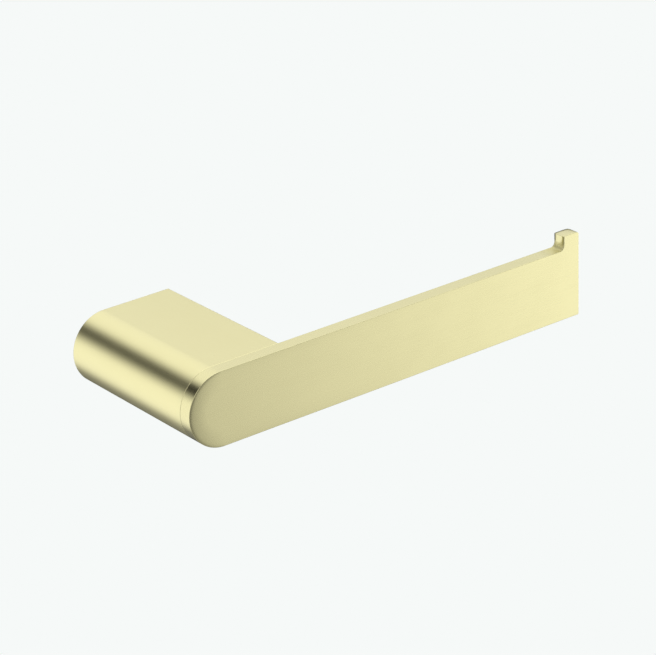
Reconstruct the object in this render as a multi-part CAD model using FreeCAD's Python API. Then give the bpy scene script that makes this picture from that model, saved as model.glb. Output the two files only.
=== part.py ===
"""Open-arm toilet paper holder for a wall, with concealed fixing.

A hollow D-section post covers a bracket that is screwed to the wall. A flat bar is screwed to the
front of the post from inside and runs off to the right, where an upturned tip keeps the roll on.
A grub screw under the post locks it on the bracket.

Units are millimetres. The origin is midway between the bracket's two screw slots, on the wall. +X
runs along the bar, +Y points into the wall and +Z is up.
"""

import FreeCAD
import Part

import math
import os

Vector = FreeCAD.Vector
TOWARDS_WALL = Vector(0, 1, 0)
UP = Vector(0, 0, 1)

# ---------------------------------------------------------------- overall sizes
section_height = 28.0        # height of the post and of the bar
post_width = 42.5            # along X, from the round side to the flat side
post_depth = 66.5            # from the wall to the back of the bar
bar_length = 178.5           # along X, from the round end to the tip
bar_thickness = 5.6
tip_height = 5.6             # how far the tip stands above the bar
tip_length = 7.4             # along X, at the top of the tip
tip_inner_radius = 2.0       # where the tip rises from the bar
edge_radius = 0.4            # softened outer edges of the post and the bar
rim_chamfer = 0.3            # round the open end of the post, at the wall

# ---------------------------------------------------------------- post shell
side_wall = 2.8
front_wall = 4.0             # carries the bar
cavity_corner_radius = 1.5
boss_half_width = 5.5        # pad inside the lower wall that gives the grub screw its thread length
boss_half_length = 4.5
boss_corner_radius = 1.5

# ---------------------------------------------------------------- wall bracket
flange_thickness = 2.0
bracket_clearance = 0.25     # between the flange and the post's cavity, all round
slot_width = 4.6             # for a 4 mm wall screw
counterbore_width = 8.6      # for its 8 mm head
counterbore_rim = 1.65        # metal left outside each counterbore
counterbore_web = 3.6        # metal left between them, over the grub screw's point
counterbore_floor = 4.0      # metal left under the wall screw's head
flange_edge = 0.3
hub_edge = 0.5

# ---------------------------------------------------------------- grub screw, M5
grub_diameter = 5.0
grub_length = 5.0
grub_recess = 0.35           # how far it sits inside the post's lower face
grub_point_diameter = 3.5
grub_point_length = 0.75
grub_hex = 2.5               # across flats
grub_hex_depth = 2.4
grub_contact_gap = 0.05      # between the flat point and the hub
boss_clearance = 0.6         # between the boss and the hub
boss_flange_gap = 0.5        # between the boss and the flange, along Y

# ---------------------------------------------------------------- bar screws, M4
screw_diameter = 4.0
screw_head_diameter = 7.0
screw_head_height = 4.0
screw_head_edge = 0.35
screw_hex = 3.0
screw_hex_depth = 2.0
screw_point_chamfer = 0.4
screw_spacing = 18.0         # along X
screw_hole_skin = 1.0        # metal left in front of the bar's threaded holes
screw_point_gap = 0.3        # between the screw's point and the bottom of its hole

# ---------------------------------------------------------------- washers
flat_washer_bore = 4.3
flat_washer_diameter = 9.0
flat_washer_thickness = 0.8
spring_washer_bore = 4.1
spring_washer_diameter = 7.6
spring_washer_thickness = 0.9
spring_washer_slit = 0.7
spring_washer_slit_lean = 35.0   # degrees
washer_edge = 0.12

# ---------------------------------------------------------------- dowel pins
dowel_diameter = 3.0
dowel_length = 6.0
dowel_in_bar = 3.2
dowel_end_gap = 0.4          # at each end of the pin
dowel_spacing = 13.0         # along Z
dowel_chamfer = 0.3

# ---------------------------------------------------------------- running clearances, on diameter
thread_clearance = 0.1
through_clearance = 0.5
dowel_clearance = 0.04

# ---------------------------------------------------------------- places worked out from the sizes
half_height = section_height / 2
post_left = -post_width / 2
post_right = post_width / 2
bar_right = post_left + bar_length
post_front = -post_depth
bar_front = post_front - bar_thickness
cavity_left = post_left + side_wall
cavity_right = post_right - side_wall
cavity_half_height = half_height - side_wall
cavity_front = post_front + front_wall
# The hub's lower face is where the grub screw's point meets it.
hub_half_height = half_height - grub_recess - grub_length - grub_contact_gap
# The hub's round side shares the post's axis, and its flat side is as far from the origin.
hub_left = post_left + half_height - hub_half_height
hub_right = -hub_left
boss_top = -hub_half_height - boss_clearance
# The grub screw stands in the middle of its boss, and the hub reaches past the whole screw.
grub_from_wall = flange_thickness + boss_flange_gap + boss_half_length
bracket_depth = grub_from_wall + grub_diameter / 2 + hub_edge
# The two counterbores share the hub's length, and each slot keeps its screw's head inside its own.
counterbore_length = (hub_right - hub_left - 2 * counterbore_rim - counterbore_web) / 2
slot_length = counterbore_length - (counterbore_width - slot_width)
wall_slot_spacing = counterbore_length + counterbore_web
screw_hole_depth = bar_thickness - screw_hole_skin
screw_length = (front_wall + flat_washer_thickness + spring_washer_thickness
                + screw_hole_depth - screw_point_gap)


# ---------------------------------------------------------------- shape helpers
def d_face(left, right, half, y):
    """A D-shaped face at y, 2 * half high: a half circle on the left, square on the right."""
    top = Vector(left + half, y, half)
    bottom = Vector(left + half, y, -half)
    right_top = Vector(right, y, half)
    right_bottom = Vector(right, y, -half)
    round_side = Part.Arc(top, Vector(left, y, 0), bottom).toShape()
    edges = [
        round_side,
        Part.makeLine(bottom, right_bottom),
        Part.makeLine(right_bottom, right_top),
        Part.makeLine(right_top, top),
    ]
    return Part.Face(Part.Wire(edges))


def d_block(left, right, half, y_back, y_front):
    """A D-shaped block between two planes, y_front being further from the wall."""
    return d_face(left, right, half, y_back).extrude(Vector(0, y_front - y_back, 0))


def cylinder(diameter, start, direction, length):
    return Part.makeCylinder(diameter / 2, length, start, direction)


def hex_prism(across_flats, start, direction, length):
    """A hexagonal prism that starts at a point and runs along a direction."""
    corner = across_flats / math.sqrt(3)
    aside = Vector(1, 0, 0)
    across = direction.cross(aside)
    corners = []
    for i in range(7):
        angle = math.radians(60 * i)
        corners.append(start + aside * (corner * math.cos(angle)) + across * (corner * math.sin(angle)))
    return Part.Face(Part.makePolygon(corners)).extrude(direction * length)


def slot_block(centre_x, width, length, y_back, y_front):
    """A round-ended slot along X, as the block that cuts it."""
    radius = width / 2
    reach = length / 2 - radius
    left, right = centre_x - reach, centre_x + reach
    ends = [
        Part.Arc(Vector(left, y_back, radius), Vector(left - radius, y_back, 0),
                 Vector(left, y_back, -radius)).toShape(),
        Part.makeLine(Vector(left, y_back, -radius), Vector(right, y_back, -radius)),
        Part.Arc(Vector(right, y_back, -radius), Vector(right + radius, y_back, 0),
                 Vector(right, y_back, radius)).toShape(),
        Part.makeLine(Vector(right, y_back, radius), Vector(left, y_back, radius)),
    ]
    return Part.Face(Part.Wire(ends)).extrude(Vector(0, y_front - y_back, 0))


def edges_at(shape, test):
    """The shape's edges whose ends and middle all pass the test."""
    found = []
    for edge in shape.Edges:
        middle = edge.valueAt((edge.FirstParameter + edge.LastParameter) / 2)
        points = [vertex.Point for vertex in edge.Vertexes] + [middle]
        if all(test(p) for p in points):
            found.append(edge)
    return found


def near(a, b):
    return abs(a - b) < 1e-4


def beside(side, spacing):
    """One of two places that are a spacing apart, either side of zero; side is -1 or 1."""
    return side * spacing / 2


# ---------------------------------------------------------------- post shell
def post_shell():
    """The D-section shell: open at the wall, closed by the front wall that carries the bar."""
    outside = d_block(post_left, post_right, half_height, 0, post_front)
    front_edges = edges_at(outside, lambda p: near(p.y, post_front))
    long_edges = edges_at(outside, lambda p: near(p.x, post_right) and near(abs(p.z), half_height))
    outside = outside.makeFillet(edge_radius, front_edges + long_edges)
    outside = outside.makeChamfer(rim_chamfer, edges_at(outside, lambda p: near(p.y, 0)))

    cavity = d_block(cavity_left, cavity_right, cavity_half_height, 0, cavity_front)
    corners = edges_at(cavity, lambda p: near(p.x, cavity_right) and near(abs(p.z), cavity_half_height))
    cavity = cavity.makeFillet(cavity_corner_radius, corners)
    shell = outside.cut(cavity)

    shell = shell.fuse(grub_boss()).removeSplitter()
    shell = shell.cut(grub_hole())
    for side in (-1, 1):
        x, z = beside(side, screw_spacing), beside(side, dowel_spacing)
        shell = shell.cut(cylinder(screw_diameter + through_clearance, Vector(x, post_front, 0),
                                   TOWARDS_WALL, front_wall))
        shell = shell.cut(cylinder(dowel_diameter + dowel_clearance, Vector(0, post_front, z),
                                   TOWARDS_WALL, dowel_length - dowel_in_bar + dowel_end_gap))
    return shell


def grub_boss():
    """The pad on the cavity's lower face, rooted in the wall below it."""
    near_wall = -flange_thickness - boss_flange_gap
    root = -half_height + side_wall / 2
    pad = Part.makeBox(2 * boss_half_width, 2 * boss_half_length, boss_top - root,
                       Vector(-boss_half_width, near_wall - 2 * boss_half_length, root))
    upright = edges_at(pad, lambda p: near(abs(p.x), boss_half_width)
                       and (near(p.y, near_wall) or near(p.y, near_wall - 2 * boss_half_length)))
    return pad.makeFillet(boss_corner_radius, upright)


def grub_hole():
    start = Vector(0, -grub_from_wall, -half_height)
    return cylinder(grub_diameter + thread_clearance, start, UP, half_height + boss_top)


# ---------------------------------------------------------------- flat bar
def bar_outline(y):
    """The bar's face at y, from the round end to the upturned tip."""
    tip_left = bar_right - tip_length
    tip_top = half_height + tip_height
    arc_x = post_left + half_height
    r = tip_inner_radius
    turn = r * (1 - math.sqrt(0.5))
    points = [
        Vector(arc_x, y, -half_height),
        Vector(bar_right, y, -half_height),
        Vector(bar_right, y, tip_top),
        Vector(tip_left, y, tip_top),
        Vector(tip_left, y, half_height + r),
    ]
    edges = [Part.makeLine(a, b) for a, b in zip(points, points[1:])]
    foot = Vector(tip_left - r, y, half_height)
    edges.append(Part.Arc(points[-1], Vector(tip_left - turn, y, half_height + turn), foot).toShape())
    top = Vector(arc_x, y, half_height)
    edges.append(Part.makeLine(foot, top))
    edges.append(Part.Arc(top, Vector(post_left, y, 0), points[0]).toShape())
    return Part.Face(Part.Wire(edges))


def flat_bar():
    bar = bar_outline(post_front).extrude(Vector(0, -bar_thickness, 0))
    rims = edges_at(bar, lambda p: near(p.y, post_front) or near(p.y, bar_front))
    corners = edges_at(bar, lambda p: near(p.x, bar_right) and near(p.z, -half_height))
    corners += edges_at(bar, lambda p: near(p.z, half_height + tip_height)
                        and (near(p.x, bar_right) or near(p.x, bar_right - tip_length)))
    bar = bar.makeFillet(edge_radius, rims + corners)
    for side in (-1, 1):
        x, z = beside(side, screw_spacing), beside(side, dowel_spacing)
        bar = bar.cut(cylinder(screw_diameter + thread_clearance, Vector(x, post_front, 0),
                               -TOWARDS_WALL, screw_hole_depth))
        bar = bar.cut(cylinder(dowel_diameter + dowel_clearance, Vector(0, post_front, z),
                               -TOWARDS_WALL, dowel_in_bar + dowel_end_gap))
    return bar


# ---------------------------------------------------------------- wall bracket
def wall_bracket():
    """The flange that fills the post's mouth, and the hub that the grub screw locks against."""
    flange = d_block(cavity_left + bracket_clearance, cavity_right - bracket_clearance,
                     cavity_half_height - bracket_clearance, 0, -flange_thickness)
    corners = edges_at(flange, lambda p: near(p.x, cavity_right - bracket_clearance)
                       and near(abs(p.z), cavity_half_height - bracket_clearance))
    flange = flange.makeFillet(cavity_corner_radius, corners)
    flange = flange.makeChamfer(flange_edge, edges_at(flange, lambda p: near(p.y, -flange_thickness)))

    hub = d_block(hub_left, hub_right, hub_half_height, 0, -bracket_depth)
    hub_corners = edges_at(hub, lambda p: near(p.x, hub_right) and near(abs(p.z), hub_half_height))
    hub = hub.makeFillet(cavity_corner_radius, hub_corners)
    hub = hub.makeChamfer(hub_edge, edges_at(hub, lambda p: near(p.y, -bracket_depth)))

    bracket = flange.fuse(hub).removeSplitter()
    for side in (-1, 1):
        x = beside(side, wall_slot_spacing)
        bracket = bracket.cut(slot_block(x, slot_width, slot_length, 0, -bracket_depth))
        bracket = bracket.cut(slot_block(x, counterbore_width, counterbore_length,
                                         -counterbore_floor, -bracket_depth))
    return bracket


# ---------------------------------------------------------------- grub screw
def grub_screw():
    """M5, flat point upwards and hex socket downwards, at the height where it locks."""
    low = Vector(0, -grub_from_wall, -half_height + grub_recess)
    taper = (grub_diameter - grub_point_diameter) / 2
    body = cylinder(grub_diameter, low, UP, grub_length - grub_point_length)
    shoulder = Part.makeCone(grub_diameter / 2, grub_diameter / 2 - taper, grub_point_length,
                             low + UP * (grub_length - grub_point_length), UP)
    return body.fuse(shoulder).cut(hex_prism(grub_hex, low, UP, grub_hex_depth))


# ---------------------------------------------------------------- bar fasteners
def bar_screw(x):
    """M4 socket head cap screw, with its head in the cavity and its point in the bar."""
    seat = Vector(x, cavity_front + flat_washer_thickness + spring_washer_thickness, 0)
    head = cylinder(screw_head_diameter, seat, TOWARDS_WALL, screw_head_height)
    crown = edges_at(head, lambda p: near(p.y, seat.y + screw_head_height))
    head = head.makeFillet(screw_head_edge, crown)
    shank = cylinder(screw_diameter, seat, -TOWARDS_WALL, screw_length)
    point = edges_at(shank, lambda p: near(p.y, seat.y - screw_length))
    shank = shank.makeChamfer(screw_point_chamfer, point)
    socket = hex_prism(screw_hex, seat + TOWARDS_WALL * (screw_head_height - screw_hex_depth),
                       TOWARDS_WALL, screw_hex_depth)
    return head.fuse(shank).removeSplitter().cut(socket)


def ring(bore, diameter, thickness, centre):
    """A flat ring with softened outer edges, standing on centre and growing towards the wall."""
    disc = cylinder(diameter, centre, TOWARDS_WALL, thickness)
    disc = disc.makeChamfer(washer_edge, disc.Edges[:1] + disc.Edges[2:])
    return disc.cut(cylinder(bore, centre, TOWARDS_WALL, thickness))


def flat_washer(x):
    return ring(flat_washer_bore, flat_washer_diameter, flat_washer_thickness, Vector(x, cavity_front, 0))


def spring_washer(x):
    """A split spring washer, closed flat by the screw, with its leaning slit at the top."""
    seat = Vector(x, cavity_front + flat_washer_thickness, 0)
    washer = ring(spring_washer_bore, spring_washer_diameter, spring_washer_thickness, seat)
    reach = spring_washer_diameter
    slit = Part.makeBox(spring_washer_slit, 2 * reach, reach,
                        Vector(x - spring_washer_slit / 2, seat.y + spring_washer_thickness / 2 - reach, 0))
    middle = Vector(x, seat.y + spring_washer_thickness / 2, 0)
    slit.rotate(middle, UP, spring_washer_slit_lean)
    return washer.cut(slit)


def dowel_pin(z):
    """A pin that lines the bar up with the post."""
    start = Vector(0, post_front - dowel_in_bar, z)
    pin = cylinder(dowel_diameter, start, TOWARDS_WALL, dowel_length)
    ends = edges_at(pin, lambda p: near(p.y, start.y) or near(p.y, start.y + dowel_length))
    return pin.makeChamfer(dowel_chamfer, ends)


# ---------------------------------------------------------------- the assembly
def sub_parts():
    """Every sub-part by name, in its place."""
    parts = {
        "post_shell": post_shell(),
        "flat_bar": flat_bar(),
        "wall_bracket": wall_bracket(),
        "grub_screw": grub_screw(),
    }
    for number, side in ((1, -1), (2, 1)):
        x, z = beside(side, screw_spacing), beside(side, dowel_spacing)
        parts[f"bar_screw_{number}"] = bar_screw(x)
        parts[f"spring_washer_{number}"] = spring_washer(x)
        parts[f"flat_washer_{number}"] = flat_washer(x)
        parts[f"dowel_pin_{number}"] = dowel_pin(z)
    return parts


def main():
    os.makedirs("parts", exist_ok=True)
    for name, shape in sub_parts().items():
        if not shape.isValid():
            raise ValueError(f"{name} isn't a valid solid")
        shape.exportStep(f"parts/{name}.step")
        box = shape.optimalBoundingBox(False)
        print(f"{name}: {len(shape.Solids)} solid, {shape.Volume:.1f} mm3, "
              f"x {box.XMin:.2f} to {box.XMax:.2f}, y {box.YMin:.2f} to {box.YMax:.2f}, "
              f"z {box.ZMin:.2f} to {box.ZMax:.2f}")
    print(f"wall slots {slot_length:.2f} long and {wall_slot_spacing:.2f} apart, "
          f"bar screws {screw_length:.2f} long")


main()
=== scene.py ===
"""Looks of an open-arm toilet paper holder in pale brushed gold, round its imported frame.

Lengths are in metres. Every finished piece sits at the origin with its place in its mesh. The
post's axis runs along Y from the wall, the bar runs along X, and Z is up.
"""

import math

import bmesh
import bpy
from mathutils import Matrix, Vector


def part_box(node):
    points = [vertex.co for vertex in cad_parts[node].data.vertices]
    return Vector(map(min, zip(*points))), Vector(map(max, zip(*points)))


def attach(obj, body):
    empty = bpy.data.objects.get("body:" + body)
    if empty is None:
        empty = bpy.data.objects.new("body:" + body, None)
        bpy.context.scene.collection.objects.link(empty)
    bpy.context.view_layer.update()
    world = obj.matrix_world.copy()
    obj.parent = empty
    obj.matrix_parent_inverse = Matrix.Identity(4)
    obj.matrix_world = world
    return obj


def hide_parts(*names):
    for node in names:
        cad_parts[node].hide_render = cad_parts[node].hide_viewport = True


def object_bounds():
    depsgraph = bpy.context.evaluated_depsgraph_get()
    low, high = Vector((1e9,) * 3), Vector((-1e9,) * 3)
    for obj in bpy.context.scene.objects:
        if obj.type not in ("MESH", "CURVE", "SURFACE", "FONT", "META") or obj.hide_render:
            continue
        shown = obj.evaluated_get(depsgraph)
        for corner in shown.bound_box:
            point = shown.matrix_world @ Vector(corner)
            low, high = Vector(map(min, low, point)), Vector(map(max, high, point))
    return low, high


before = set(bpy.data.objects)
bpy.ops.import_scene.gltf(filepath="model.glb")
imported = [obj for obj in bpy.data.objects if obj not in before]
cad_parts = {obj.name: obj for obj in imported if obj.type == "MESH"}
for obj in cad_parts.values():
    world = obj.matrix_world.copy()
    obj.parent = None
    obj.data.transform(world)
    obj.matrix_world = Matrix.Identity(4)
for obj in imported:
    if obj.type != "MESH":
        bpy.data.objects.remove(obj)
cad_low, cad_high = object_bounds()

MM = 0.001
X, Y, Z = Vector((1, 0, 0)), Vector((0, 1, 0)), Vector((0, 0, 1))
FULL_TURN = 2 * math.pi

# ------------------------------------------------------------------ places read from the frame
post_low, post_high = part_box("post_shell")
bar_low, bar_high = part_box("flat_bar")
bracket_low, bracket_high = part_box("wall_bracket")
grub_low, grub_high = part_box("grub_screw")
grub_y = (grub_low.y + grub_high.y) / 2
half_height = post_high.z
round_centre = Vector((post_low.x + half_height, 0, 0))   # axis of the round side
post_front = post_low.y
bar_front = bar_low.y
bar_middle_y = (bar_front + post_front) / 2
bar_half_depth = (post_front - bar_front) / 2

# ------------------------------------------------------------------ small lengths for tests
slack = 0.01 * MM            # places this near each other count as the same
margin = 0.05 * MM           # a little clearance
over = 1 * MM                # how far a cutting solid stands past the face it cuts
crease = math.radians(30)    # a sharper edge than this gets rounded
shading_crease = math.radians(32)   # and one sharper than this is shaded as an edge

# ------------------------------------------------------------------ post
arc_steps = 72               # round a half circle
edge_segments = 5
outer_edge = 0.4 * MM        # rounded outer edges of the post and bar
post_seam_edge = 0.18 * MM   # where the post meets the bar
wall_end_edge = 0.3 * MM     # at the wall, and on the bracket's flange
inner_edge = 0.5 * MM        # at the cavity's front, and on the bracket's hub
side_wall = 2.8 * MM
front_wall = 4.0 * MM
cavity_corner = 1.5 * MM
pad_half_width = 5.5 * MM    # the grub screw's pad, inside the post
pad_half_length = 4.5 * MM
pad_top = -9.2 * MM
pad_edge = 0.25 * MM
grub_hole_length = 8 * MM
grub_hole_edge = 0.15 * MM

# ------------------------------------------------------------------ bar
bar_seam_edge = 0.08 * MM    # where the bar meets the post
face_skin = 1 * MM           # the crown moves what lies this near the front
rim_from = 0.75              # a face is part of the rim where its normal leans less than this to Y
crown_start = 7.0 * MM       # the bar's face is flat inside this distance from its middle line
crown_depth = 0.22 * MM      # and this far back at its round outline
crown_fade = (-5 * MM, 75 * MM)   # along X, where the crown dies away
ease_start = 12.5 * MM       # past this distance the face also eases into its rounded edge
edge_ease = 13.0             # its curve: depth is this times the square of the distance past
# Where the face gets its loops: out from the middle line, and along X.
crown_rings = (crown_start, 8.5 * MM, 9.8 * MM, 10.9 * MM, 11.8 * MM, ease_start, 13.1 * MM)
crown_stops = (0, 10 * MM, 20 * MM, 30 * MM, 42 * MM, 56 * MM, crown_fade[1])

# ------------------------------------------------------------------ bar's tip
tip_length = 7.4 * MM
tip_inner_radius = 2.0 * MM
tip_left_edge = 0.15 * MM    # crisper than the other edges
tip_right_edge = 0.8 * MM
# The inner face swells out at its middle. It falls away from there with the square of the
# distance, and further near an edge: by so much, from so large a share of the way to the edge.
tip_bulge = 0.45 * MM
bulge_fall = 0.25 * MM
bulge_front_fall = (0.20 * MM, 0.7)
bulge_back_fall = (0.45 * MM, 0.1)
# The top is domed in the same way.
dome_fall = 0.06 * MM
dome_back_fall = (0.20 * MM, 0.55)
dome_right_fall = (0.18 * MM, 0.2)
# Where the tip gets its loops, in mm: back from the bar's face, and right from the inner face.
tip_loops_y = (0.6, 0.8, 1.0, 1.3, 1.8, 2.4, 3.0, 3.5, 4.0, 4.4, 4.8, 5.1, 5.3)
tip_loops_x = (1.0, 1.8, 2.8, 3.7, 4.7, 5.6, 6.1, 6.5)
# The rim is rougher in the corner under the tip: this far along the bar, fully so below one
# height over the bar and not at all above the other.
corner_length = 8 * MM
corner_heights = (1.6 * MM, 3.4 * MM)

# ------------------------------------------------------------------ wall bracket
flange_thickness = 2.0 * MM
flange_corner = 1.5 * MM
hub_half_height = 8.6 * MM
hub_back = -0.5 * MM         # inside the flange
slot_width, slot_length = 4.6 * MM, 8.4 * MM
pocket_width, pocket_length = 8.6 * MM, 12.4 * MM
pocket_floor = 4.0 * MM
slot_spacing = 16.0 * MM
slot_steps = 24              # round each end of a slot

# ------------------------------------------------------------------ screws, washers and pins
screw_x = 9.0 * MM
screw_hole_radius = 2.25 * MM
tapped_hole_radius, tapped_hole_depth = 2.05 * MM, 4.6 * MM
pin_z = 6.5 * MM
pin_hole_radius = 1.52 * MM
pin_depth_in_post, pin_depth_in_bar = 3.2 * MM, 3.6 * MM
pin_chamfer, pin_dome = 0.3 * MM, 0.06 * MM
thread_steps = 40            # round one turn
# Each thread: radius, pitch and the chamfer at its end.
cap_screw_thread = (2.0 * MM, 0.7 * MM, 0.4 * MM)
grub_screw_thread = (2.5 * MM, 0.8 * MM, 0.75 * MM)
# Each hexagonal socket: depth and width across its flats.
cap_screw_socket = (2.0 * MM, 3.0 * MM)
grub_screw_socket = (2.4 * MM, 2.5 * MM)
cap_head_height = 4.0 * MM
knurl_steps, knurl_depth = 120, 0.09 * MM
plain_bore, split_bore = 2.15 * MM, 2.05 * MM
washer_edge = 0.12 * MM
split_width, split_lean = 0.7 * MM, math.radians(35)


# ------------------------------------------------------------------ shader maths
class Value:
    """A number in a shader. Arithmetic on it adds Math nodes."""

    def __init__(self, tree, link):
        self.tree = tree
        self.link = link

    def math(self, operation, *others, first=None):
        node = self.tree.nodes.new("ShaderNodeMath")
        node.operation = operation
        parts = (self, *others) if first is None else (first, self)
        for place, part in zip(node.inputs, parts):
            if isinstance(part, Value):
                self.tree.links.new(part.link, place)
            else:
                place.default_value = part
        return Value(self.tree, node.outputs[0])

    def __add__(self, other):
        return self.math("ADD", other)

    def __sub__(self, other):
        return self.math("SUBTRACT", other)

    def __rsub__(self, other):
        return self.math("SUBTRACT", first=other)

    def __mul__(self, other):
        return self.math("MULTIPLY", other)

    __radd__ = __add__
    __rmul__ = __mul__


class Shader:
    """The node tree of a material or world."""

    def __init__(self, owner):
        owner.use_nodes = True
        self.tree = owner.node_tree
        self.tree.nodes.clear()

    def node(self, kind, settings=None, sockets=None, out=0):
        """Adds a node: its settings first, then its sockets by name or number."""
        node = self.tree.nodes.new("ShaderNode" + kind)
        for name, value in (settings or {}).items():
            setattr(node, name, value)
        for name, value in (sockets or {}).items():
            if isinstance(value, Value):
                self.tree.links.new(value.link, node.inputs[name])
            else:
                node.inputs[name].default_value = value
        return Value(self.tree, node.outputs[out]) if len(node.outputs) else node

    def place(self, stretch):
        """The piece's own coordinates, times a number along each axis."""
        here = self.node("TexCoord", out="Object")
        return self.node("Mapping", None, {"Vector": here, "Scale": stretch})

    def coordinate(self, axis):
        """The piece's own X, Y or Z, in metres."""
        here = self.node("TexCoord", out="Object")
        return self.node("SeparateXYZ", None, {"Vector": here}, out=axis)

    def noise(self, stretch, detail=2.0, rough=0.55):
        """Noise between about 0 and 1 with so many grains to the metre along each axis."""
        return self.node("TexNoise", None, {"Vector": self.place(stretch), "Scale": 1.0,
                                            "Detail": detail, "Roughness": rough})

    def soft_step(self, value, low, high):
        """0 below low and 1 above high, with a smooth rise; low may be the larger."""
        return self.node("MapRange", {"interpolation_type": "SMOOTHSTEP"},
                         {"Value": value, "From Min": low, "From Max": high})

    def blend(self, amount, a, b):
        """A colour that goes from a to b."""
        parts = {0: amount}
        for place, colour in ((6, a), (7, b)):
            parts[place] = colour if isinstance(colour, Value) else (*colour, 1)
        return self.node("Mix", {"data_type": "RGBA"}, parts, out=2)

    def bump(self, height, depth, under=None):
        """Relief of a real depth in metres, over any relief under it."""
        parts = {"Height": height, "Distance": depth, "Strength": 1.0}
        if under is not None:
            parts["Normal"] = under
        return self.node("Bump", None, parts)

    def surface(self, colour, roughness, normal, metallic=1.0):
        skin = self.node("BsdfPrincipled", None, {"Base Color": colour, "Roughness": roughness,
                                                  "Normal": normal, "Metallic": metallic})
        self.node("OutputMaterial", None, {"Surface": skin})


# ------------------------------------------------------------------ finishes
gold = (0.93, 0.875, 0.49)
gold_deep = (0.87, 0.79, 0.40)
gold_cast = (0.80, 0.71, 0.36)


def brushed_gold(name, hairs, scuffs, tilt, gloss, shade=1.0, softer=0.0):
    """Satin gold with hairlines: hairs and scuffs are grains to the metre along each axis.

    softer is how much rougher it gets in the corner under the tip, which is hard to polish. shade
    below 1 darkens both golds all over, as painted shade.
    """
    material = bpy.data.materials.new(name)
    shader = Shader(material)
    hairline = shader.noise(hairs, detail=5.0, rough=0.7)
    scuff = shader.noise(scuffs, detail=2.0)
    cloud = shader.noise((70, 70, 70), detail=3.0, rough=0.6)
    speck = shader.soft_step(shader.noise((2600, 2600, 2600), detail=1.0), 0.70, 0.78)
    wear = hairline * 0.30 + scuff * 0.40 + cloud * 0.55 + speck * 0.25
    # A shade below 1 is painted shade: it darkens the whole colour, both the bright and the deep
    # gold.
    bright, deep = ([c * shade for c in colour] for colour in (gold, gold_deep))
    colour = shader.blend(shader.soft_step(wear, 0.45, 1.15) * 0.12, bright, deep)
    roughness = hairline * 0.06 + cloud * 0.05 + scuff * 0.02 + (gloss - 0.065)
    if softer:
        foot = bar_high.x - tip_length - tip_inner_radius
        low, high = (half_height + height for height in corner_heights)
        corner = (shader.soft_step(shader.coordinate("X"), foot - corner_length, foot)
                  * shader.soft_step(shader.coordinate("Z"), high, low))
        roughness = roughness + corner * softer
    shader.surface(colour, roughness, shader.bump(hairline, tilt))
    return material


def cast_gold():
    """The unpolished inside of the post: fine blasted grain, duller and darker."""
    material = bpy.data.materials.new("blasted gold inside")
    shader = Shader(material)
    grain = shader.noise((3500, 3500, 3500), detail=2.0)
    cloud = shader.noise((220, 220, 220), detail=4.0, rough=0.6)
    colour = shader.blend(shader.soft_step(cloud, 0.3, 0.7), gold_cast, (0.66, 0.57, 0.29))
    relief = shader.bump(cloud, 0.05 * MM, shader.bump(grain, 0.03 * MM))
    shader.surface(colour, grain * 0.15 + cloud * 0.15 + 0.35, relief)
    return material


def zinc_plate():
    """Zinc plating over die-cast metal: a faint blue-grey spangle and a fine tooth."""
    material = bpy.data.materials.new("zinc plating")
    shader = Shader(material)
    place = shader.place((420, 420, 420))
    spangle = shader.node("TexVoronoi", None, {"Vector": place, "Scale": 1.0}, out="Color")
    patch = shader.node("SeparateColor", None, {"Color": spangle})
    cloud = shader.noise((160, 160, 160), detail=3.0)
    tooth = shader.noise((5200, 5200, 5200), detail=1.0)
    shade = patch * 0.55 + cloud * 0.45
    colour = shader.blend(shade, (0.50, 0.53, 0.57), (0.70, 0.71, 0.72))
    relief = shader.bump(cloud, 0.02 * MM, shader.bump(tooth, 0.012 * MM))
    shader.surface(colour, patch * 0.10 + tooth * 0.08 + 0.30, relief)
    return material


def black_oxide():
    """Blackened screw steel, with a little bare metal along the lathe marks."""
    material = bpy.data.materials.new("black oxide")
    shader = Shader(material)
    marks = shader.noise((700, 700, 7000), detail=2.0)
    grain = shader.noise((4200, 4200, 4200), detail=3.0)
    bare = shader.soft_step(marks * 0.5 + grain * 0.5, 0.56, 0.68)
    colour = shader.blend(bare, (0.045, 0.045, 0.050), (0.16, 0.15, 0.145))
    relief = shader.bump(marks, 0.008 * MM, shader.bump(grain, 0.010 * MM))
    shader.surface(colour, grain * 0.20 + 0.28, relief, metallic=0.9)
    return material


def turned_steel(name, dark, bright, gloss, marks, depth):
    """Steel from a lathe or grinder, with fine rings across its Y axis and faint stains."""
    material = bpy.data.materials.new(name)
    shader = Shader(material)
    rings = shader.noise((500, marks, 500), detail=3.0, rough=0.6)
    stain = shader.noise((380, 380, 380), detail=3.0)
    grain = shader.noise((6000, 6000, 6000), detail=1.0)
    shade = shader.soft_step(rings * 0.5 + stain * 0.5, 0.3, 0.7)
    relief = shader.bump(rings, depth, shader.bump(grain, 0.4 * depth))
    shader.surface(shader.blend(shade, dark, bright), rings * 0.12 + stain * 0.10 + gloss, relief)
    return material


post_gold = brushed_gold("post brushed along Y", (3100, 90, 3100), (900, 25, 900),
                         0.0045 * MM, 0.29)
face_gold = brushed_gold("bar face brushed along X", (90, 3100, 3100), (25, 900, 900),
                         0.0016 * MM, 0.27)
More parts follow.
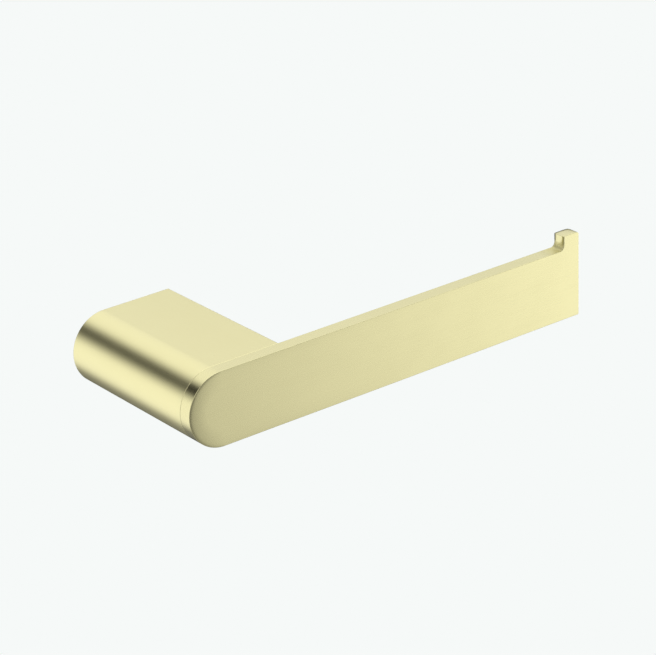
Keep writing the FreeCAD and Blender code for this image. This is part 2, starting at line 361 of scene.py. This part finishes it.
# The rim's gold is darkened to 0.93 with painted shade, so that it looks less lit than the post.
rim_gold_painted_darker = brushed_gold("rim brushed round the outline, painted darker", (90, 3100, 90), (40, 900, 40),
                        0.0045 * MM, 0.20, shade=0.93, softer=0.40)
inside_gold = cast_gold()
zinc = zinc_plate()
blackened = black_oxide()
stainless = turned_steel("machined stainless steel", (0.55, 0.55, 0.56), (0.70, 0.70, 0.70),
                         0.16, 9000, 0.006 * MM)
spring_steel = turned_steel("plated spring steel", (0.38, 0.39, 0.41), (0.56, 0.56, 0.57),
                            0.24, 4000, 0.008 * MM)
ground_steel = turned_steel("ground bright steel", (0.64, 0.64, 0.65), (0.76, 0.76, 0.76),
                            0.10, 14000, 0.004 * MM)


# ------------------------------------------------------------------ mesh helpers
def points_of(result, key="geom_last"):
    return [v for v in result[key] if isinstance(v, bmesh.types.BMVert)]


def tidy(bm):
    bmesh.ops.remove_doubles(bm, verts=bm.verts, dist=1e-6)
    bmesh.ops.recalc_face_normals(bm, faces=bm.faces)


def bevel(bm, edges, width, segments=edge_segments):
    bmesh.ops.bevel(bm, geom=edges, offset=width, offset_type="OFFSET", affect="EDGES",
                    segments=segments, profile=0.5, material=-1, clamp_overlap=True)


def sharp_edges(bm, test):
    """The creased edges whose ends both pass the test."""
    return [e for e in bm.edges if len(e.link_faces) == 2 and all(test(v.co) for v in e.verts)
            and e.calc_face_angle(0) > crease]


def near(a, b, distance=slack):
    return abs(a - b) < distance


def grow(bm, face, by):
    """Turns a flat face into a solid by pushing it along a vector."""
    pushed = bmesh.ops.extrude_face_region(bm, geom=[face], use_keep_orig=True)
    bmesh.ops.translate(bm, verts=points_of(pushed, "geom"), vec=by)
    tidy(bm)
    return bm


def d_solid(left, right, half, y_back, y_front, corner=0.0):
    """A D-shaped block: a half circle spun from one vertex, a flat right side, then pushed."""
    bm = bmesh.new()
    top = bm.verts.new((left + half, y_back, half))
    spun = bmesh.ops.spin(bm, geom=[top], cent=(left + half, y_back, 0), axis=-Y,
                          angle=math.pi, steps=arc_steps)
    bottom = points_of(spun)[0]
    low = bm.verts.new((right, y_back, -half))
    high = bm.verts.new((right, y_back, half))
    for ends in ((bottom, low), (low, high), (high, top)):
        bm.edges.new(ends)
    face = bmesh.ops.contextual_create(bm, geom=bm.edges[:])["faces"][0]
    if corner:
        bmesh.ops.bevel(bm, geom=[low, high], offset=corner, offset_type="OFFSET",
                        affect="VERTICES", segments=12, profile=0.5, material=-1)
        face = bm.faces[:][0]
    return grow(bm, face, (0, y_front - y_back, 0))


def slot_solid(centre_x, width, length, y_back, y_front):
    """A round-ended slot along X, as a solid: two half circles spun from one vertex."""
    bm = bmesh.new()
    radius, reach = width / 2, (length - width) / 2
    start = bm.verts.new((centre_x - reach, y_back, radius))
    bottom = points_of(bmesh.ops.spin(bm, geom=[start], axis=-Y, angle=math.pi, steps=slot_steps,
                                      cent=(centre_x - reach, y_back, 0)))[0]
    right = points_of(bmesh.ops.extrude_vert_indiv(bm, verts=[bottom]), "verts")[0]
    right.co.x = centre_x + reach
    top = points_of(bmesh.ops.spin(bm, geom=[right], axis=-Y, angle=math.pi, steps=slot_steps,
                                   cent=(centre_x + reach, y_back, 0)))[0]
    bm.edges.new((top, start))
    face = bmesh.ops.contextual_create(bm, geom=bm.edges[:])["faces"][0]
    return grow(bm, face, (0, y_front - y_back, 0))


def aligned(centre, axis):
    """A matrix that takes +Z to an axis and the origin to a centre."""
    return Matrix.Translation(centre) @ Z.rotation_difference(Vector(axis)).to_matrix().to_4x4()


def round_solid(centre, axis, length, radius, steps=64, end_radius=None):
    """A cylinder or cone that starts at a centre and runs along an axis."""
    bm = bmesh.new()
    bmesh.ops.create_cone(bm, cap_ends=True, segments=steps, radius1=radius, depth=length,
                          radius2=radius if end_radius is None else end_radius,
                          matrix=Matrix.Translation((0, 0, length / 2)))
    bmesh.ops.transform(bm, matrix=aligned(centre, axis), verts=bm.verts)
    return bm


def turned(profile, centre, axis, steps=64):
    """A solid turned round an axis from a few (radius, height) points."""
    bm = bmesh.new()
    points = [bm.verts.new((radius, 0, height)) for radius, height in profile]
    rings = points if profile[0][0] == 0 else points + points[:1]
    for ends in zip(rings, rings[1:]):
        bm.edges.new(ends)
    bmesh.ops.spin(bm, geom=bm.verts[:] + bm.edges[:], cent=(0, 0, 0), axis=Z,
                   angle=FULL_TURN, steps=steps, use_merge=True)
    bmesh.ops.transform(bm, matrix=aligned(centre, axis), verts=bm.verts)
    tidy(bm)
    return bm


def thread_rod(centre, axis, length, radius, pitch):
    """A threaded rod with 60 degree flanks, wound up as a helix and cut square at both ends."""
    bm = bmesh.new()
    crest, root = pitch / 8, pitch / 4
    depth = (pitch - crest - root) / 2 * math.sqrt(3)
    shape = ((radius - depth, 0), (radius - depth, root),
             (radius, (pitch + root - crest) / 2), (radius, (pitch + root + crest) / 2),
             (radius - depth, pitch))
    points = [bm.verts.new((r, 0, h - pitch * 1.5)) for r, h in shape]
    for ends in zip(points, points[1:]):
        bm.edges.new(ends)
    turns = math.ceil(length / pitch) + 2
    bmesh.ops.spin(bm, geom=bm.verts[:] + bm.edges[:], cent=(0, 0, 0), axis=Z,
                   dvec=(0, 0, pitch / thread_steps), angle=FULL_TURN * turns,
                   steps=thread_steps * turns)
    bmesh.ops.remove_doubles(bm, verts=bm.verts, dist=1e-7)
    for height, side in ((0, -1), (length, 1)):
        bmesh.ops.bisect_plane(bm, geom=bm.verts[:] + bm.edges[:] + bm.faces[:], dist=1e-8,
                               plane_co=(0, 0, height), plane_no=(0, 0, side), clear_outer=True)
        rim = [e for e in bm.edges if e.is_boundary
               and all(abs(v.co.z - height) < 1e-7 for v in e.verts)]
        bmesh.ops.contextual_create(bm, geom=rim)
    bmesh.ops.transform(bm, matrix=aligned(centre, axis), verts=bm.verts)
    bmesh.ops.recalc_face_normals(bm, faces=bm.faces)
    return bm


def combine(bm, tool, operation="DIFFERENCE"):
    """Cuts a tool's solid from the mesh, joins it on, or keeps what they share."""
    shapes = []
    for part in (bm, tool):
        bmesh.ops.recalc_face_normals(part, faces=part.faces)
        mesh = bpy.data.meshes.new("shaping")
        part.to_mesh(mesh)
        shapes.append(bpy.data.objects.new("shaping", mesh))
        bpy.context.scene.collection.objects.link(shapes[-1])
    body, cutter = shapes
    change = body.modifiers.new("shaping", "BOOLEAN")
    change.operation = operation
    change.solver = "EXACT"
    change.object = cutter
    evaluated = body.evaluated_get(bpy.context.evaluated_depsgraph_get())
    result = bpy.data.meshes.new_from_object(evaluated)
    bm.clear()
    bm.from_mesh(result)
    tool.free()
    bpy.data.meshes.remove(result)
    for shape in shapes:
        mesh = shape.data
        bpy.data.objects.remove(shape)
        bpy.data.meshes.remove(mesh)
    return bm


def finish_piece(name, bm, body, finishes, node):
    """Makes the mesh a piece that rides on a body and stands for one CAD node."""
    mesh = bpy.data.meshes.new(name)
    bm.to_mesh(mesh)
    bm.free()
    piece = bpy.data.objects.new(name, mesh)
    bpy.context.scene.collection.objects.link(piece)
    for finish in finishes:
        mesh.materials.append(finish)
    mesh.shade_smooth()
    mesh.set_sharp_from_angle(angle=shading_crease)
    even = piece.modifiers.new("even shading", "WEIGHTED_NORMAL")
    even.keep_sharp = True
    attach(piece, body)
    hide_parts(node)
    return piece


# ------------------------------------------------------------------ the post
def grub_pad():
    """The pad inside the post that the grub screw's hole goes through."""
    root = -half_height + side_wall / 2
    pad = bmesh.new()
    bmesh.ops.create_cube(pad, size=1.0)
    bmesh.ops.scale(pad, verts=pad.verts, vec=(2 * pad_half_width, 2 * pad_half_length,
                                               pad_top - root))
    bmesh.ops.translate(pad, verts=pad.verts, vec=(0, grub_y, (pad_top + root) / 2))
    bevel(pad, [e for e in pad.edges if near(e.verts[0].co.x, e.verts[1].co.x)
                and near(e.verts[0].co.y, e.verts[1].co.y)], cavity_corner, 8)
    bevel(pad, sharp_edges(pad, lambda p: near(p.z, pad_top)), pad_edge, 2)
    return pad


def in_cavity(point):
    """Whether a point of the post's surface is inside it, past its rounded ends."""
    aside = max(0, round_centre.x - point.x)
    return (math.hypot(aside, point.z) < half_height - side_wall + 2 * margin
            and point.x < post_high.x - side_wall + 2 * margin
            and post_front + inner_edge < point.y < -inner_edge)


def post_shell():
    """The hollow D-shaped post, with the pad and hole for its grub screw."""
    bm = d_solid(post_low.x, post_high.x, half_height, 0, post_front)
    bevel(bm, sharp_edges(bm, lambda p: near(p.x, post_high.x)
                          and not near(p.z, 0, half_height / 2)), outer_edge)
    bevel(bm, sharp_edges(bm, lambda p: near(p.y, post_front)), post_seam_edge)
    bevel(bm, sharp_edges(bm, lambda p: near(p.y, 0)), wall_end_edge, 3)
    cavity_front = post_front + front_wall
    cavity = d_solid(post_low.x + side_wall, post_high.x - side_wall, half_height - side_wall,
                     over, cavity_front, cavity_corner)
    bevel(cavity, sharp_edges(cavity, lambda p: near(p.y, cavity_front)), inner_edge, 3)
    combine(bm, cavity)
    combine(bm, grub_pad(), "UNION")

    hole = (grub_high.x - grub_low.x) / 2 + margin
    combine(bm, round_solid((0, grub_y, -half_height - over), Z, grub_hole_length, hole))
    for side in (-1, 1):
        combine(bm, round_solid((side * screw_x, post_front - over, 0), Y,
                                front_wall + 2 * over, screw_hole_radius))
        combine(bm, round_solid((0, post_front - over, side * pin_z), Y,
                                pin_depth_in_post + over, pin_hole_radius))
    mouth = sharp_edges(bm, lambda p: near(p.z, -half_height)
                        and math.hypot(p.x, p.y - grub_y) < hole + margin)
    bevel(bm, mouth, grub_hole_edge, 2)
    tidy(bm)
    for face in bm.faces:
        face.material_index = int(in_cavity(face.calc_center_median()))
    return finish_piece("post", bm, "post", [post_gold, inside_gold], "post_shell")


# ------------------------------------------------------------------ the bar
def bar_solid():
    """The bar with its upturned tip: half a disc spun from its section, then drawn out along X."""
    bm = bmesh.new()
    centre = Vector((round_centre.x, bar_front, 0))
    section = [bm.verts.new((centre.x, bar_front, r)) for r in (0, *crown_rings, half_height)]
    section.append(bm.verts.new((centre.x, post_front, half_height)))
    section.append(bm.verts.new((centre.x, post_front, 0)))
    for ends in zip(section, section[1:]):
        bm.edges.new(ends)
    bmesh.ops.spin(bm, geom=bm.verts[:] + bm.edges[:], cent=centre, axis=-Y, angle=math.pi,
                   steps=arc_steps)
    bmesh.ops.remove_doubles(bm, verts=bm.verts, dist=1e-6)
    for stop in (*crown_stops, bar_high.x - tip_length, bar_high.x):
        edge_loop = [e for e in bm.edges if e.is_boundary]
        drawn = bmesh.ops.extrude_edge_only(bm, edges=edge_loop)
        for v in points_of(drawn, "geom"):
            v.co.x = stop
    end = [e for e in bm.edges if e.is_boundary]
    bmesh.ops.contextual_create(bm, geom=end)
    tidy(bm)
    tip_foot = [f for f in bm.faces if f.normal.z > 0.99
                and f.calc_center_median().x > bar_high.x - tip_length]
    raised = bmesh.ops.extrude_face_region(bm, geom=tip_foot)
    for v in points_of(raised, "geom"):
        v.co.z = bar_high.z
    bmesh.ops.delete(bm, geom=[f for f in tip_foot if f.is_valid], context="FACES_ONLY")
    tidy(bm)
    return bm


def crown(point):
    """How far a point of the bar's face lies behind its flat middle."""
    aside = max(0, round_centre.x - point.x)
    out = math.hypot(aside, point.z) - crown_start
    if out <= 0 or point.z > half_height + slack:
        return 0
    start, end = crown_fade
    along = min(1, max(0, (point.x - start) / (end - start)))
    strength = 1 - along * along * (3 - 2 * along)
    under_tip = point.z > 0 and point.x > bar_high.x - tip_length - tip_inner_radius
    past = 0 if under_tip else max(0, out + crown_start - ease_start)
    back = crown_depth * strength * (out / (half_height - crown_start)) ** 2
    return back + edge_ease * past ** 2


def edge_fall(amount, start, share):
    """The fall at a share of the way to an edge: none before start, all of it at the edge."""
    return amount * (max(0, share - start) / (1 - start)) ** 2


def tip_crown(y):
    """How far the tip's inner face lies to the right of its edge's line, at a depth y."""
    deep = (y - bar_middle_y) / bar_half_depth      # -1 at the front, 1 at the back
    return (bulge_fall * deep ** 2 + edge_fall(*bulge_front_fall, -deep)
            + edge_fall(*bulge_back_fall, deep) - tip_bulge)


def tip_dome(x, y):
    """How far the tip's top lies below its highest point."""
    across = (x - (bar_high.x - tip_length / 2)) / (tip_length / 2)
    deep = (y - bar_middle_y) / bar_half_depth
    return (dome_fall * (across ** 2 + deep ** 2) + edge_fall(*dome_back_fall, deep)
            + edge_fall(*dome_right_fall, across))


def shape_tip(bm, tip_x):
    """Swells the tip's inner face and domes its top, after adding loops for the curves."""
    foot = Vector((tip_x - tip_inner_radius, 0, half_height + tip_inner_radius))
    lowest_side = half_height - outer_edge - margin
    lowest_top = bar_high.z - tip_right_edge - margin
    for axis, start, loops, lowest in ((Y, bar_front, tip_loops_y, lowest_side),
                                       (X, tip_x, tip_loops_x, lowest_top)):
        for loop in loops:
            faces = [f for f in bm.faces if all(v.co.x > foot.x - slack and v.co.z > lowest
                                                for v in f.verts)]
            around = dict.fromkeys(part for f in faces for part in (*f.edges, *f.verts))
            bmesh.ops.bisect_plane(bm, geom=faces + list(around), dist=1e-6, plane_no=axis,
                                   plane_co=axis * (start + loop * MM))
    for v in bm.verts:
        p = v.co.copy()
        if p.z > lowest_top and p.x > tip_x - slack:
            v.co.z -= tip_dome(p.x, p.y)
        if p.z > lowest_side and foot.x < p.x < tip_x + outer_edge + margin:
            up = max(0, (foot.z - p.z) / tip_inner_radius)
            out = 1 if up == 0 else min(1, (p.x - foot.x) / tip_inner_radius)
            v.co.x += tip_crown(p.y) * out * out
            v.co.z -= tip_crown(p.y) * out * up


def flat_bar():
    """The flat bar: bevelled, softly crowned at its round end, and drilled at the back."""
    bm = bar_solid()
    tip_x = bar_high.x - tip_length
    inner = sharp_edges(bm, lambda p: near(p.x, tip_x) and near(p.z, half_height))
    bevel(bm, inner, tip_inner_radius, 10)
    for x, z, width in ((bar_high.x, bar_low.z, outer_edge),
                        (bar_high.x, bar_high.z, tip_right_edge),
                        (tip_x, bar_high.z, tip_left_edge)):
        bevel(bm, sharp_edges(bm, lambda p: near(p.x, x) and near(p.z, z)), width)
    bevel(bm, sharp_edges(bm, lambda p: near(p.y, bar_front)), outer_edge)
    bevel(bm, sharp_edges(bm, lambda p: near(p.y, post_front)), bar_seam_edge, 3)
    shape_tip(bm, tip_x)
    for v in bm.verts:
        if v.co.y < bar_front + face_skin:
            v.co.y += crown(v.co)
    for side in (-1, 1):
        combine(bm, round_solid((side * screw_x, post_front + over, 0), -Y,
                                tapped_hole_depth + over, tapped_hole_radius))
        combine(bm, round_solid((0, post_front + over, side * pin_z), -Y,
                                pin_depth_in_bar + over, pin_hole_radius))
    tidy(bm)
    for face in bm.faces:
        face.material_index = int(abs(face.normal.y) < rim_from)
    return finish_piece("bar", bm, "post", [face_gold, rim_gold_painted_darker], "flat_bar")


# ------------------------------------------------------------------ the wall bracket
def wall_bracket():
    """The flange in the post's mouth, and the hub with two slots for the wall screws."""
    bm = d_solid(bracket_low.x, bracket_high.x, bracket_high.z, 0, -flange_thickness,
                 flange_corner)
    bevel(bm, sharp_edges(bm, lambda p: near(p.y, -flange_thickness)), wall_end_edge, 2)
    hub_left = post_low.x + half_height - hub_half_height
    hub = d_solid(hub_left, -hub_left, hub_half_height, hub_back, bracket_low.y, cavity_corner)
    bevel(hub, sharp_edges(hub, lambda p: near(p.y, bracket_low.y)), inner_edge, 2)
    combine(bm, hub, "UNION")
    for side in (-1, 1):
        x = side * slot_spacing / 2
        combine(bm, slot_solid(x, slot_width, slot_length, over, bracket_low.y - over))
        combine(bm, slot_solid(x, pocket_width, pocket_length, -pocket_floor,
                               bracket_low.y - over))
    tidy(bm)
    return finish_piece("wall_bracket_plated", bm, "wall_bracket", [zinc],
                        "wall_bracket")


# ------------------------------------------------------------------ screws
def threaded_shank(start, axis, length, radius, pitch, chamfer):
    """A threaded rod whose far end is chamfered like a real screw's."""
    rod = thread_rod(start, axis, length, radius, pitch)
    blank = round_solid(start - axis * slack, axis, length + slack, radius + slack)
    bevel(blank, sharp_edges(blank, lambda p: near((p - start).dot(axis), length)), chamfer, 1)
    return combine(rod, blank, "INTERSECT")


def hex_socket(bm, start, axis, depth, across):
    """Cuts a hexagonal socket with a flat bottom and an eased mouth."""
    corner = across / math.sqrt(3)
    lead = 0.5 * MM
    combine(bm, round_solid(start - axis * lead, axis, depth + lead, corner, steps=6))
    combine(bm, round_solid(start - axis * slack, axis, 0.25 * MM, corner + 0.1 * MM, steps=48,
                            end_radius=corner - 0.2 * MM))


def grub_screw():
    """The M5 grub screw: flat point up, hex socket down."""
    start = Vector((0, grub_y, grub_low.z))
    bm = threaded_shank(start, Z, grub_high.z - grub_low.z, *grub_screw_thread)
    rim_cut = turned(((2.1 * MM, -slack), (2.7 * MM, -slack), (2.7 * MM, 0.59 * MM)), start, Z)
    combine(bm, rim_cut)
    hex_socket(bm, start, Z, *grub_screw_socket)
    tidy(bm)
    return finish_piece("grub_screw_black", bm, "grub_screw", [blackened],
                        "grub_screw")


def bar_screw(number):
    """An M4 cap screw with a knurled head and a hex socket."""
    low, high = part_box(f"bar_screw_{number}")
    x = (low.x + high.x) / 2
    radius, sunk = (high.x - low.x) / 2, 0.2 * MM
    seat = Vector((x, high.y - cap_head_height, 0))
    bm = round_solid(seat, Y, cap_head_height, radius, steps=knurl_steps)
    round_rim = sorted(bm.verts, key=lambda v: (round(v.co.y, 6), math.atan2(v.co.z, v.co.x - x)))
    for groove in round_rim[1::2]:
        out = Vector((groove.co.x - x, 0, groove.co.z))
        groove.co -= out.normalized() * knurl_depth
    rim_cut = turned(((radius - 0.45 * MM, cap_head_height + slack),
                      (radius + 0.2 * MM, cap_head_height + slack),
                      (radius + 0.2 * MM, cap_head_height - 0.65 * MM)), seat, Y)
    combine(bm, rim_cut)
    shank = threaded_shank(seat + Y * sunk, -Y, seat.y - low.y + sunk, *cap_screw_thread)
    combine(bm, shank, "UNION")
    hex_socket(bm, seat + Y * cap_head_height, -Y, *cap_screw_socket)
    tidy(bm)
    return finish_piece(f"cap_screw_{number}", bm, "post", [stainless],
                        f"bar_screw_{number}")


# ------------------------------------------------------------------ washers and pins
def ring(node, bore):
    """A flat washer the size of its node, with eased edges."""
    low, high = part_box(node)
    outer, thick, edge = (high.x - low.x) / 2, high.y - low.y, washer_edge
    profile = ((bore, edge), (bore + edge, 0), (outer - edge, 0), (outer, edge),
               (outer, thick - edge), (outer - edge, thick), (bore + edge, thick),
               (bore, thick - edge))
    return turned(profile, Vector(((low.x + high.x) / 2, low.y, 0)), Y, 96)


def flat_washer(number):
    node = f"flat_washer_{number}"
    return finish_piece(f"plain_washer_{number}", ring(node, plain_bore), "post",
                        [stainless], node)


def spring_washer(number):
    """A split spring washer, closed flat by its screw, with its leaning slit at the top."""
    node = f"spring_washer_{number}"
    low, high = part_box(node)
    bm = ring(node, split_bore)
    middle = Vector(((low.x + high.x) / 2, (low.y + high.y) / 2, 0))
    slit = bmesh.new()
    bmesh.ops.create_cube(slit, size=1.0)
    length = 8 * MM          # more than the washer's width
    bmesh.ops.scale(slit, verts=slit.verts, vec=(split_width, length, length))
    bmesh.ops.translate(slit, verts=slit.verts, vec=(0, 0, length / 2))
    bmesh.ops.rotate(slit, verts=slit.verts, cent=(0, 0, 0),
                     matrix=Matrix.Rotation(split_lean, 3, "Z"))
    bmesh.ops.translate(slit, verts=slit.verts, vec=middle)
    combine(bm, slit)
    tidy(bm)
    return finish_piece(f"split_washer_{number}", bm, "post", [spring_steel],
                        node)


def dowel_pin(number):
    """A ground pin with a chamfer and a shallow dome at each end."""
    node = f"dowel_pin_{number}"
    low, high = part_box(node)
    radius, length = (high.x - low.x) / 2, high.y - low.y
    end = ((0, 0), (radius * 0.45, pin_dome * 0.3), (radius - pin_chamfer, pin_dome),
           (radius, pin_chamfer + pin_dome))
    profile = (*end, *((r, length - h) for r, h in reversed(end)))
    bm = turned(profile, Vector((0, low.y, (low.z + high.z) / 2)), Y, 64)
    return finish_piece(f"ground_pin_{number}", bm, "post", [ground_steel],
                        node)


# ------------------------------------------------------------------ stage, sky and camera
pale = (0.9216, 0.9473, 0.9387)
floor_drop = 0.65            # such a holder is fitted about this high above the floor
floor_size = 40.0
ambient = 0.06

# Each soft box: azimuth from +Y towards +X, elevation, full inside this angle, gone outside
# that angle, and strength. Angles are in degrees.
soft_boxes = {
    "above": (60, 45, 47, 67, 0.82),
    "shoulder": (12, 48, 8, 42, 0.10),
    "overhead": (100, 70, 15, 45, 0.30),
    "left": (-48, -16, 20, 46, 0.97),
    "front": (119, -15, 8, 44, 1.33),
    "below": (0, -62, 8, 40, 0.23),
    "low right": (66, -34, 8, 34, 0.45),
    "far left": (-100, 35, 15, 50, 0.45),
    "behind the camera": (-145, 25, 18, 54, 0.45),
    "low behind the camera": (-160, -20, 12, 40, 0.30),
    "floor": (-165, -70, 12, 46, 0.35),
}
# Dark panels take light away in the same way: the last number is the share that is left.
dark_panels = {
    "left shoulder": (-33, 29, 4, 13, 0.5),
    "right horizon": (40, -1, 12, 22, 0.12),
}


def direction(azimuth, elevation):
    a, e = math.radians(azimuth), math.radians(elevation)
    return Vector((math.sin(a) * math.cos(e), math.cos(a) * math.cos(e), math.sin(e)))


def soft_disc(shader, towards, azimuth, elevation, inner, outer):
    """1 within the inner angle of a direction, 0 past the outer one."""
    dot = shader.node("VectorMath", {"operation": "DOT_PRODUCT"},
                      {0: towards, 1: direction(azimuth, elevation)}, out="Value")
    return shader.soft_step(dot.math("ARCCOSINE"), math.radians(outer), math.radians(inner))


def make_sky():
    """A studio of soft boxes for the reflections, and a plain backdrop for the camera."""
    world = bpy.data.worlds.new("studio")
    bpy.context.scene.world = world
    shader = Shader(world)
    towards = shader.node("TexCoord", out="Generated")
    light = None
    for *disc, strength in soft_boxes.values():
        glow = soft_disc(shader, towards, *disc) * strength
        light = glow if light is None else light + glow
    light = light + ambient
    for *disc, left_over in dark_panels.values():
        light = light * (1 - soft_disc(shader, towards, *disc) * (1 - left_over))
    studio = shader.node("Background", None, {"Strength": light, "Color": (1, 1, 1, 1)})
    plain = shader.node("Background", None, {"Color": (*pale, 1)})
    seen = shader.node("LightPath", out="Is Camera Ray")
    both = shader.node("MixShader", None, {0: seen, 1: studio, 2: plain})
    shader.node("OutputWorld", None, {"Surface": both})


def make_floor():
    """A plain pale floor that the camera sees and the metal doesn't."""
    bm = bmesh.new()
    bmesh.ops.create_grid(bm, x_segments=1, y_segments=1, size=floor_size / 2,
                          matrix=Matrix.Translation((0, 0, -floor_drop)))
    mesh = bpy.data.meshes.new("floor")
    bm.to_mesh(mesh)
    bm.free()
    floor = bpy.data.objects.new("floor", mesh)
    bpy.context.scene.collection.objects.link(floor)
    material = bpy.data.materials.new("plain pale floor")
    shader = Shader(material)
    glow = shader.node("Emission", None, {"Color": (*pale, 1)})
    shader.node("OutputMaterial", None, {"Surface": glow})
    mesh.materials.append(material)
    for ray in ("diffuse", "glossy", "transmission", "shadow", "volume_scatter"):
        setattr(floor, "visible_" + ray, False)


camera_azimuth = math.radians(-37.106)
camera_elevation = math.radians(23.743)
camera_roll = math.radians(-2.435)
camera_distance = 932.8 * MM
camera_lens = 139.67
camera_right, camera_up = -0.18 * MM, 4.63 * MM   # where its aim lies from the view's middle


def make_camera():
    back = Vector((math.sin(camera_azimuth) * math.cos(camera_elevation),
                   -math.cos(camera_azimuth) * math.cos(camera_elevation),
                   math.sin(camera_elevation)))
    aim = Vector(((cad_low.x + cad_high.x) / 2, post_front / 2, 0))
    turn = (-back).to_track_quat("-Z", "Y") @ Matrix.Rotation(camera_roll, 3, "Z").to_quaternion()
    data = bpy.data.cameras.new("camera")
    data.lens = camera_lens
    camera = bpy.data.objects.new("camera", data)
    camera.rotation_mode = "QUATERNION"
    camera.rotation_quaternion = turn
    camera.location = (aim + back * camera_distance - (turn @ X) * camera_right
                       - (turn @ Y) * camera_up)
    bpy.context.scene.collection.objects.link(camera)
    bpy.context.scene.camera = camera


make_camera()
make_sky()
make_floor()
bpy.context.scene.view_settings.view_transform = "Standard"

post_shell()
flat_bar()
wall_bracket()
grub_screw()
for number in (1, 2):
    bar_screw(number)
    flat_washer(number)
    spring_washer(number)
    dowel_pin(number)
